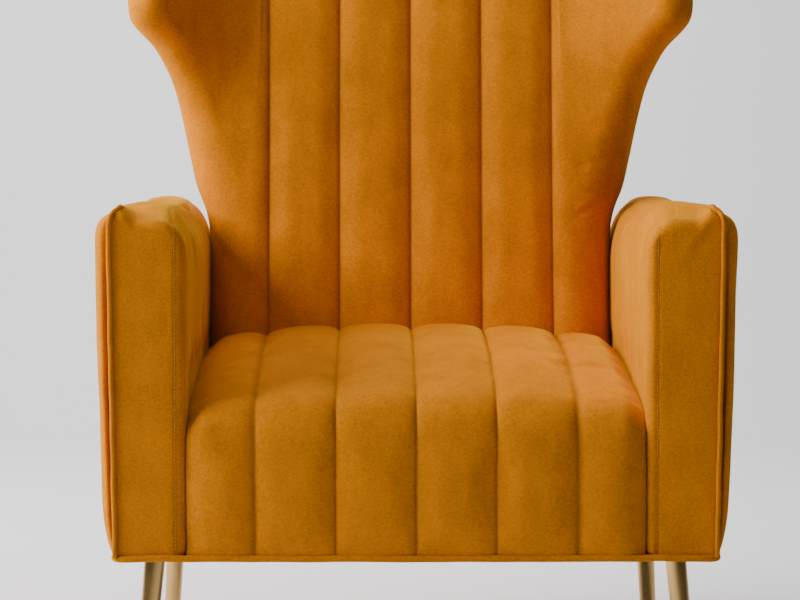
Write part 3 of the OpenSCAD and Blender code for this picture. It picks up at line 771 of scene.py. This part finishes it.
def arm_fall(y):
    """How much lower the arm's top is at y than at its front."""
    return 0.0025 * smooth((y + 0.30) / 0.15) + 0.0118 * smooth((y + 0.24) / 0.45)


def front_fall(y):
    """How much lower the arm's padding is near its front edge than behind it."""
    return 0.015 * (1 - smooth((y - FACE_Y) / 0.10))


def arm_corner(y):
    """The width and height of the arm's rounded inner top corner at y."""
    t = smooth((y - FACE_Y) / ARM_ROUNDING)
    return mix(0.036, 0.056, t), mix(0.040, 0.070, t)


def arm_outline(y):
    """The arm's section: squarer at the front and rounder towards the back."""
    top = ARM_TOP - arm_fall(y) - front_fall(y)
    return outline(ARM_IN, ARM_OUT, ARM_OUT - LEAN, top, top - ARM_CAMBER, UNDER_Z, *arm_corner(y), SHOULDER)


def corner_cut(z):
    """How far the arm's outer seam moves inwards where it rounds its top corner."""
    return CUT * (1 - edge_profile(ARM_TOP - 0.002 - z, 0.022))


def top_height(x, y):
    """The height of the arm's top at a place, on the same section as arm_outline."""
    rx, rz = arm_corner(y)
    near_seam = smooth((x - ARM_OUT + CUT + 0.018) / 0.018)
    top = ARM_TOP - arm_fall(y) - front_fall(y) * (1 - 0.9 * near_seam)
    if x < ARM_IN + rx:
        share = (ARM_IN + rx - x) / rx
        return top - rz + rz * (1 - share**2.2) ** (1 / 2.2)
    return top - ARM_CAMBER * min(1.0, (x - ARM_IN - rx) / (ARM_OUT - SHOULDER - ARM_IN - rx)) ** 2


def facing_outline():
    """The flat front of an arm, inside its rounded edges."""
    return outline(
        ARM_IN + 0.011, ARM_OUT, ARM_OUT - LEAN, ARM_TOP - 0.031, ARM_TOP - 0.032, UNDER_Z, 0.012, 0.012, 0.006
    )


def pucker(x, z, side):
    """A small gather at the strip's inner top corner and a soft fold at its outer one."""
    dimple = Vector((x - ARM_IN - 0.0185, (z - ARM_TOP + 0.040) * 0.35)).length
    depth = 0.0010 if side > 0 else 0.0003
    low, high = (ARM_OUT - 0.036, ARM_TOP - 0.060), (ARM_OUT - 0.008, ARM_TOP - 0.018)
    fold = crease_line(x, z, low, high, 0.008, depth)
    return -0.0005 * math.exp(-((dimple / 0.0045) ** 2)) + fold


class ARMCHAIR_OT_arms(bpy.types.Operator):
    """Upholster the arms: round padded tops, and a strip up the front and over the top"""

    bl_idname = "armchair.arms"
    bl_label = "Arms and strips"

    def cover(self, side, name):
        depth = [FACE_Y + FACE_ROLL * (1 - math.cos(math.radians(11.25 * i))) for i in range(9)]
        end = rear(ARM_TOP)
        depth += [mix(depth[-1], end, (i / 66)) for i in range(1, 67)]
        front = facing_outline()
        count = len(front)
        rings = []
        for k, y in enumerate(depth):
            section = arm_outline(y)
            inward = edge_profile(y - FACE_Y, SIDE_ROLL)
            upward = edge_profile(y - FACE_Y, FACE_ROLL)
            rings.append([(mix(a, c, inward), mix(b, d, upward)) for (a, b), (c, d) in zip(front, section)])

        def place(i, j):
            i %= count
            x, z = rings[j][i]
            y = depth[j]
            shown = smooth((z - 0.40) / 0.06)
            swell = 0.0011 * ripple((side * x, y, z), 13, 19 + side) * shown * smooth(j / 12)
            x += swell * (-1 if x < ARM_IN + 0.05 else 0)
            z += swell if z > ARM_TOP - 0.03 else 0
            if j < 12:
                y -= pucker(x, z, side) * smooth((12 - j) / 9)
            limit = rear(z)
            squeeze = (y - FACE_Y) / (end - FACE_Y)
            y = FACE_Y + (limit - FACE_Y) * squeeze if j >= 9 else y
            # Painted shade along the cover's front, where it meets the front strip.
            return Vector((side * x, y, z)), 0.9 * math.exp(-j / 0.6)

        bm = bmesh.new()
        grid(bm, count, len(depth) - 1, place)
        close(bm)
        piece = finish_piece(
            bm, name, cover_finish(), "velvet",
            name.replace("arm_", "arm_foam_"), name.replace("arm_", "arm_cover_"),
        )

        def held(vert):
            hidden = vert.co.z < 0.42 or abs(vert.co.x) > ARM_OUT - 0.010 or vert.co.y < FACE_Y + 0.012
            return 1.0 if hidden or vert.co.y > rear(vert.co.z) - 0.01 else 0.0

        inflate(piece, held, pressure=1.5, frames=8, most=0.002)
        subdivide(piece)

    def band(self, side, word):
        """The strip that runs up the arm's front, over its rounded edge and back along its top."""
        front, bend, top = 80, 10, 60
        across, roll, lift = 26, FACE_ROLL, 0.0010

        def place(i, j):
            on_top = max(0.0, (j - front - bend) / top)
            y = FACE_Y + roll
            if j > front + bend:
                y = mix(FACE_Y + roll, rear(ARM_TOP) - 0.002, on_top)
            inner = ARM_IN + mix(0.0134, 0.024, smooth((y - FACE_Y) / ARM_ROUNDING))
            share = 0.5 - 0.5 * math.cos(math.pi * i / across)
            height = min(1.0, j / front)
            level = mix(FOOT_Z, ARM_TOP - arm_fall(y) - roll, height)
            if j > front:
                level += roll * math.sin(math.radians(90) * min(1.0, (j - front) / bend))
            outer = ARM_OUT - 0.0005 - LEAN * (1 - height) - corner_cut(level + arm_fall(y))
            x = mix(inner, outer, share)
            z_top = top_height(x, y)
            edge = min(x - inner, outer + 0.0005 - x)
            pad = lift * edge_profile(edge + 0.0002, 0.004) + 0.0010 * edge_profile(edge, 0.020) - 0.0010
            uneven = ripple((side * x, y, mix(FOOT_Z, ARM_TOP, height)), 17, 31 + side)
            pad += 0.0008 * uneven * smooth(edge / 0.01)
            over = smooth((j - front) / bend)
            pad -= 0.0022 * over * (1 - smooth((x - inner) / 0.010))
            if j <= front:
                z = mix(FOOT_Z, z_top - roll, height)
                y = FACE_Y - pad - pucker(x, z, side)
            else:
                turn = math.radians(90) * min(1.0, (j - front) / bend)
                z = z_top - roll + (roll + pad) * math.sin(turn)
                y = y - (roll + pad) * math.cos(turn)
            # Painted shade along the strip's edges, fading out where it turns over the top.
            return Vector((side * x, y, z)), 0.55 * (1 - over) * math.exp(-edge / 0.0012)

        bm = bmesh.new()
        grid(bm, across, front + bend + top, place)
        if side < 0:
            bmesh.ops.reverse_faces(bm, faces=bm.faces)
        piece = finish_piece(bm, f"facing_strip_{word}", cover_finish(), "velvet", f"arm_facing_{word}")
        solid = piece.modifiers.new("Solidify", "SOLIDIFY")
        solid.thickness = 0.004
        solid.offset = -1
        subdivide(piece)

    def execute(self, context):
        for side, word in ((-1, "left"), (1, "right")):
            self.cover(side, f"arm_{word}")
            self.band(side, word)
        return {"FINISHED"}


class ARMCHAIR_OT_outsides(bpy.types.Operator):
    """Cover the arms' outsides with padded panels that are full at the top and tucked in at the foot"""

    bl_idname = "armchair.outsides"
    bl_label = "Outside panels"

    def execute(self, context):
        inner_x = ARM_OUT + 0.0003
        foot, top = FOOT_Z, ARM_TOP - 0.003
        full = OUTSIDE_HIGH.x - inner_x + 0.0035
        for side, word in ((-1, "left"), (1, "right")):
            def place(i, j, side=side):
                height = i / 60
                z = mix(foot, top, height)
                lean = LEAN * (1 - height)
                z -= arm_fall(mix(FACE_Y, rear(z), j / 90)) * height
                fullness = mix(0.80, 1.0, smooth(height * 1.6))
                shape = edge_profile(height, 0.17) * edge_profile(1 - height, 0.09)
                along = j / 90
                y = mix(FACE_Y + 0.001, rear(z), along)
                front = edge_profile(y - FACE_Y, 0.032)
                back = edge_profile(rear(z) - y, 0.014)
                wave = 0.0016 * ripple((side, y, z), 7, 41 + side) + 0.0007 * ripple((side, y, z), 22, 43)
                if height < 0.15:
                    z += 0.0022 * math.sin(y * 21 + side) * (1 - height / 0.15)
                swell = (full * fullness + wave) * shape * front * back
                lean += corner_cut(mix(foot, top + 0.001, height))
                # Painted shade, darker at the panel's top and foot seams.
                crease = 0.7 * math.exp(-min(height, 1 - height) / 0.006)
                return Vector((side * (inner_x - lean + swell), y, z)), crease

            bm = bmesh.new()
            grid(bm, 60, 90, place)
            close(bm)
            piece = finish_piece(bm, f"outside_panel_{word}", cover_finish(), "velvet", f"arm_outside_{word}")
            subdivide(piece)
        return {"FINISHED"}


# ------------------------------------------------------------------ welts and stitches


class ARMCHAIR_OT_welts(bpy.types.Operator):
    """Sew the velvet-covered cords along the arms' outer seams and round the foot of the body"""

    bl_idname = "armchair.welts"
    bl_label = "Welts"

    def body_path(self):
        radius = (WELT_HIGH.z - WELT_LOW.z) / 2
        low, high = WELT_LOW + Vector((radius,) * 3), WELT_HIGH - Vector((radius,) * 3)
        bend = 0.014
        path = []
        for cx, cy, start in (
            (high.x - bend, high.y - bend, 0), (low.x + bend, high.y - bend, 90),
            (low.x + bend, low.y + bend, 180), (high.x - bend, low.y + bend, 270),
        ):
            for i in range(7):
                a = math.radians(start + 15 * i)
                path.append(Vector((cx + bend * math.cos(a), cy + bend * math.sin(a), low.z)))
        dense = []
        for k, point in enumerate(path):
            nearby = path[(k + 1) % len(path)]
            steps = max(1, round((nearby - point).length / 0.008))
            dense += [point.lerp(nearby, i / steps) for i in range(steps)]
        for point in dense:
            under_arm = smooth((abs(point.x) - 0.25) / 0.03)
            point.z += (0.0006 + 0.0011 * under_arm) * ripple(point, 24, 51)
            point.y += 0.0006 * ripple(point, 30, 53)
        return dense, radius

    def arm_path(self, side):
        radius = 0.0030
        y = FACE_Y - 0.0022
        top = ARM_TOP
        x = ARM_OUT + 0.0016
        path = []
        for i in range(60):
            z = mix(FOOT_Z + 0.002, top, 1 - (1 - i / 60) ** 1.4)
            lean = LEAN * (top - z) / (top - FOOT_Z)
            path.append(Vector((x - lean - corner_cut(z), y + 0.010 * smooth((z - top + 0.014) / 0.014), z)))
        start, end = path[-1].y + 0.002, rear(top) - 0.004
        for i in range(71):
            along = mix(start, end, i / 70)
            sink = 0.0042 * smooth((along - start - 0.01) / 0.06)
            path.append(Vector((x - CUT, along, top - arm_fall(along) - sink)))
        return self.roughen(path, side), radius

    def roughen(self, path, side):
        for point in path:
            point.x = side * (point.x + 0.0008 * ripple(point, 26, 61 + side))
            point.z += 0.0006 * ripple(point, 24, 67 + side)
        return path

    def execute(self, context):
        welt = velvet("welt_velvet", colours().velvet, 0.92)
        path, radius = self.body_path()
        bm = bmesh.new()
        sweep(bm, path, radius, around=14, closed=True)
        close(bm)
        finish_piece(bm, "foot_cord", welt, "velvet_welt", "body_welt")
        for side, word in ((-1, "left"), (1, "right")):
            path, radius = self.arm_path(side)
            bm = bmesh.new()
            sweep(bm, path, radius, around=12, up=Vector((1, 0, 0)))
            close(bm)
            finish_piece(bm, f"arm_cord_{word}", welt, "velvet_welt", f"arm_welt_{word}")
        return {"FINISHED"}


class ARMCHAIR_OT_stitches(bpy.types.Operator):
    """Topstitch the inner seams of the arms' front strips"""

    bl_idname = "armchair.stitches"
    bl_label = "Strip stitches"

    def execute(self, context):
        thread = Finish("gold_thread", roughness=0.55, sheen_weight=0.3, base_color=tuple(colours().velvet))
        step = sizes().stitch
        x = ARM_IN + 0.0130
        for side, word in ((-1, "left"), (1, "right")):
            bm = bmesh.new()
            count = int((ARM_TOP - 0.040 - FOOT_Z) / step)
            for k in range(count):
                made = bmesh.ops.create_icosphere(bm, subdivisions=1, radius=0.5)["verts"]
                bmesh.ops.scale(bm, verts=made, vec=(0.0010, 0.0008, step * 0.68))
                z = FOOT_Z + 0.012 + k * step
                place = (side * (x + 0.0003 * ripple((0, 0, z), 60, side)), FACE_Y - 0.0004, z)
                bmesh.ops.translate(bm, verts=made, vec=place)
            finish_piece(bm, f"facing_stitches_{word}", thread.material, "velvet_welt")
        return {"FINISHED"}


# ------------------------------------------------------------------ finishes of the frame's own parts


def timber_finish(name, colour):
    wood = Finish(name, roughness=0.7, specular_ior_level=0.3)
    grain = wood.noise(9, 4, wood.stretched((1.2, 9.0, 9.0)), roughness=0.6)
    pores = wood.noise(90, 2, wood.stretched((0.6, 9.0, 9.0)))
    share = grain * 0.75 + pores * 0.25
    wood.feed("Base Color", wood.blend(share, rgb(colour, 0.62), rgb(colour, 1.22)))
    wood.feed("Roughness", 0.55 + grain * 0.3)
    wood.relief(pores * 0.5 + grain * 0.5, 0.0006, 0.4)
    return wood.material


def brass_finish(name, colour):
    metal = Finish(name, metallic=1.0, base_color=tuple(colour))
    smudge = metal.noise(30, 3)
    drawn = metal.noise(160, 2, metal.stretched((6.0, 6.0, 0.5)))
    tone = smudge * 0.6 + drawn * 0.4
    metal.feed("Base Color", metal.blend(tone, rgb(colour, 0.88), rgb(colour, 1.12)))
    metal.feed("Roughness", 0.08 + tone * 0.12)
    metal.relief(drawn, 0.0002, 0.15)
    return metal.material


def steel_finish(name, shade):
    metal = Finish(name, metallic=1.0)
    drawn = metal.noise(240, 3)
    metal.feed("Base Color", metal.blend(drawn, rgb((shade,) * 3, 0.8), rgb((shade,) * 3, 1.15)))
    metal.feed("Roughness", 0.28 + drawn * 0.22)
    return metal.material


def cloth_finish(name, colour, scale):
    cloth = Finish(name, roughness=0.95, sheen_weight=0.2)
    bonded = cloth.noise(scale, 4, roughness=0.7)
    coarse = cloth.noise(scale * 0.12, 2)
    share = bonded * 0.7 + coarse * 0.3
    cloth.feed("Base Color", cloth.blend(share, rgb(colour, 0.6), rgb(colour, 1.7)))
    cloth.relief(bonded, 0.0005, 0.6)
    return cloth.material


def plastic_finish(name, colour):
    plastic = Finish(name, specular_ior_level=0.45)
    skin = plastic.noise(900, 2)
    wear = plastic.noise(25, 3)
    plastic.feed("Base Color", plastic.blend(wear, rgb(colour, 0.8), rgb(colour, 1.5)))
    plastic.feed("Roughness", 0.42 + wear * 0.25)
    plastic.relief(skin, 0.0002, 0.3)
    return plastic.material


class ARMCHAIR_OT_frame_finishes(bpy.types.Operator):
    """Give the frame, legs, springs and fastenings their own finishes"""

    bl_idname = "armchair.frame_finishes"
    bl_label = "Frame finishes"

    def execute(self, context):
        made = {
            "timber": timber_finish("sawn_timber", colours().timber),
            "fibreboard": timber_finish("hardboard", (0.24, 0.14, 0.075)),
            "brass_leg": brass_finish("brass_plating", colours().brass),
            "steel": steel_finish("zinc_steel", 0.55),
            "foot_plastic": plastic_finish("black_foot_plastic", (0.02, 0.02, 0.02)),
            "black_cloth": cloth_finish("black_dust_cloth", (0.018, 0.018, 0.020), 700),
            "webbing": cloth_finish("elastic_webbing", (0.03, 0.03, 0.035), 420),
            "foam": cloth_finish("cream_foam", (0.75, 0.70, 0.52), 520),
            "velvet": cover_finish(),
            "velvet_welt": bpy.data.materials["welt_velvet"],
        }
        for row in frame["record"]["subparts"]:
            mesh = frame["nodes"][row["node"]].data
            mesh.materials.clear()
            mesh.materials.append(made[row["material_slot"]])
        return {"FINISHED"}


# ------------------------------------------------------------------ stage


class StageSettings(bpy.types.PropertyGroup):
    distance: FloatProperty(
        name="Distance", description="From the camera to the arms' front", default=3.88, unit="LENGTH"
    )
    height: FloatProperty(name="Height", description="Height of the camera", default=0.773, unit="LENGTH")
    offset: FloatProperty(
        name="Offset", description="Camera's place to the side", default=-0.053, unit="LENGTH"
    )
    lens: FloatProperty(name="Lens", description="Focal length in millimetres", default=154.1)
    pitch: FloatProperty(
        name="Pitch", description="How far the camera looks down", default=math.radians(4.026), unit="ROTATION"
    )
    yaw: FloatProperty(
        name="Yaw", description="How far the camera looks to the right", default=math.radians(0.507),
        unit="ROTATION",
    )


class ARMCHAIR_OT_stage(bpy.types.Operator):
    """Set the chair on a pale floor in soft studio light, and place the camera"""

    bl_idname = "armchair.stage"
    bl_label = "Floor, light and camera"

    def floor(self):
        """A pale floor that curves up into a wall behind the chair, and is clear when seen from its back."""
        reach, wall, bend = 6.0, 2.6, 1.2
        bm = bmesh.new()
        bmesh.ops.create_grid(bm, x_segments=4, y_segments=2, size=reach)
        far = [e for e in bm.edges if e.is_boundary and min(v.co.y for v in e.verts) > reach - 0.01]
        bmesh.ops.translate(bm, verts=list({v for e in far for v in e.verts}), vec=(0, wall - reach, 0))
        steps = 16
        for turn in range(steps + 1):
            made = bmesh.ops.extrude_edge_only(bm, edges=far)["geom"]
            verts = [g for g in made if isinstance(g, bmesh.types.BMVert)]
            far = [g for g in made if isinstance(g, bmesh.types.BMEdge) and all(v in verts for v in g.verts)]
            if turn == steps:
                bmesh.ops.translate(bm, verts=verts, vec=(0, 0, 3.5))
                continue
            a, b = (math.radians(90 * k / steps) for k in (turn, turn + 1))
            step = (0, bend * (math.sin(b) - math.sin(a)), bend * (math.cos(a) - math.cos(b)))
            bmesh.ops.translate(bm, verts=verts, vec=step)
        bmesh.ops.recalc_face_normals(bm, faces=bm.faces)
        if sum(f.normal.z for f in bm.faces) < 0:
            bmesh.ops.reverse_faces(bm, faces=bm.faces)
        mesh = bpy.data.meshes.new("studio_floor")
        bm.to_mesh(mesh)
        bm.free()
        for face in mesh.polygons:
            face.use_smooth = True
        floor = bpy.data.objects.new("studio_floor", mesh)
        bpy.context.scene.collection.objects.link(floor)
        paint = Finish("pale_floor", roughness=0.8, specular_ior_level=0.2, base_color=(0.80, 0.79, 0.81))
        behind = paint.node("ShaderNodeNewGeometry", output="Backfacing")
        clear = paint.node("ShaderNodeBsdfTransparent")
        seen = paint.node("ShaderNodeMixShader", inputs={0: behind, 2: clear})
        paint.tree.links.new(paint.shader.outputs[0], seen.socket.node.inputs[1])
        paint.tree.links.new(seen.socket, paint.tree.nodes["Material Output"].inputs["Surface"])
        floor.data.materials.append(paint.material)

    def lamp(self, name, place, target, size, energy, colour=(1, 1, 1)):
        data = bpy.data.lights.new(name, "AREA")
        data.shape = "RECTANGLE"
        data.size, data.size_y = size
        data.energy = energy
        data.color = colour
        lamp = bpy.data.objects.new(name, data)
        bpy.context.scene.collection.objects.link(lamp)
        lamp.location = place
        lamp.rotation_euler = (Vector(target) - Vector(place)).to_track_quat("-Z", "Y").to_euler()

    def execute(self, context):
        stage = context.scene.chair_stage
        self.floor()
        self.lamp("key", (-3.2, -0.9, 2.4), (0, -0.1, 0.5), (2.2, 1.8), 200, (1, 0.97, 0.92))
        self.lamp("fill", (1.2, -4.2, 1.3), (0, 0, 0.5), (2.4, 2.0), 2, (0.95, 0.97, 1))
        self.lamp("side", (-2.6, 0.5, 1.1), (0, 0, 0.55), (0.9, 1.4), 45, (1, 0.97, 0.92))
        self.lamp("overhead", (-0.6, -0.1, 3.2), (0, 0, 0.4), (1.6, 1.6), 30)
        self.lamp("backdrop", (-0.6, 1.3, 2.6), (0, 2.9, 0.7), (2.0, 1.0), 100)
        world = context.scene.world or bpy.data.worlds.new("studio_air")
        context.scene.world = world
        world.use_nodes = True
        world.node_tree.nodes["Background"].inputs["Color"].default_value = (0.90, 0.90, 0.93, 1)
        world.node_tree.nodes["Background"].inputs["Strength"].default_value = 0.10

        data = bpy.data.cameras.new("camera")
        data.lens = stage.lens
        data.sensor_width = 36
        camera = bpy.data.objects.new("camera", data)
        camera.location = (stage.offset, FACE_Y - stage.distance, stage.height)
        camera.rotation_euler = Euler((math.radians(90) - stage.pitch, 0, -stage.yaw))
        context.scene.collection.objects.link(camera)
        context.scene.camera = camera
        return {"FINISHED"}


# ------------------------------------------------------------------ panel and registration

STEPS = (
    ARMCHAIR_OT_back, ARMCHAIR_OT_outside_back, ARMCHAIR_OT_seat, ARMCHAIR_OT_arms, ARMCHAIR_OT_outsides,
    ARMCHAIR_OT_welts, ARMCHAIR_OT_stitches, ARMCHAIR_OT_frame_finishes, ARMCHAIR_OT_stage,
)


class ARMCHAIR_PT_panel(bpy.types.Panel):
    """Lists the chair's settings and steps"""

    bl_idname = "ARMCHAIR_PT_panel"
    bl_label = "Armchair"
    bl_space_type = "VIEW_3D"
    bl_region_type = "UI"
    bl_category = "Armchair"

    def draw(self, context):
        scene = context.scene
        for group in (scene.chair_sizes, scene.chair_colours, scene.chair_stage):
            box = self.layout.box()
            for name in group.bl_rna.properties.keys():
                if name not in {"rna_type", "name"}:
                    box.prop(group, name)
        for step in STEPS:
            self.layout.operator(step.bl_idname)


CLASSES = (ChairSizes, ChairColours, StageSettings, *STEPS, ARMCHAIR_PT_panel)


def register():
    for cls in CLASSES:
        bpy.utils.register_class(cls)
    bpy.types.Scene.chair_sizes = PointerProperty(type=ChairSizes)
    bpy.types.Scene.chair_colours = PointerProperty(type=ChairColours)
    bpy.types.Scene.chair_stage = PointerProperty(type=StageSettings)


def unregister():
    del bpy.types.Scene.chair_stage
    del bpy.types.Scene.chair_colours
    del bpy.types.Scene.chair_sizes
    for cls in reversed(CLASSES):
        bpy.utils.unregister_class(cls)


def main():
    register()
    for step in STEPS:
        family, name = step.bl_idname.split(".")
        getattr(getattr(bpy.ops, family), name)()


if __name__ == "__main__":
    main()
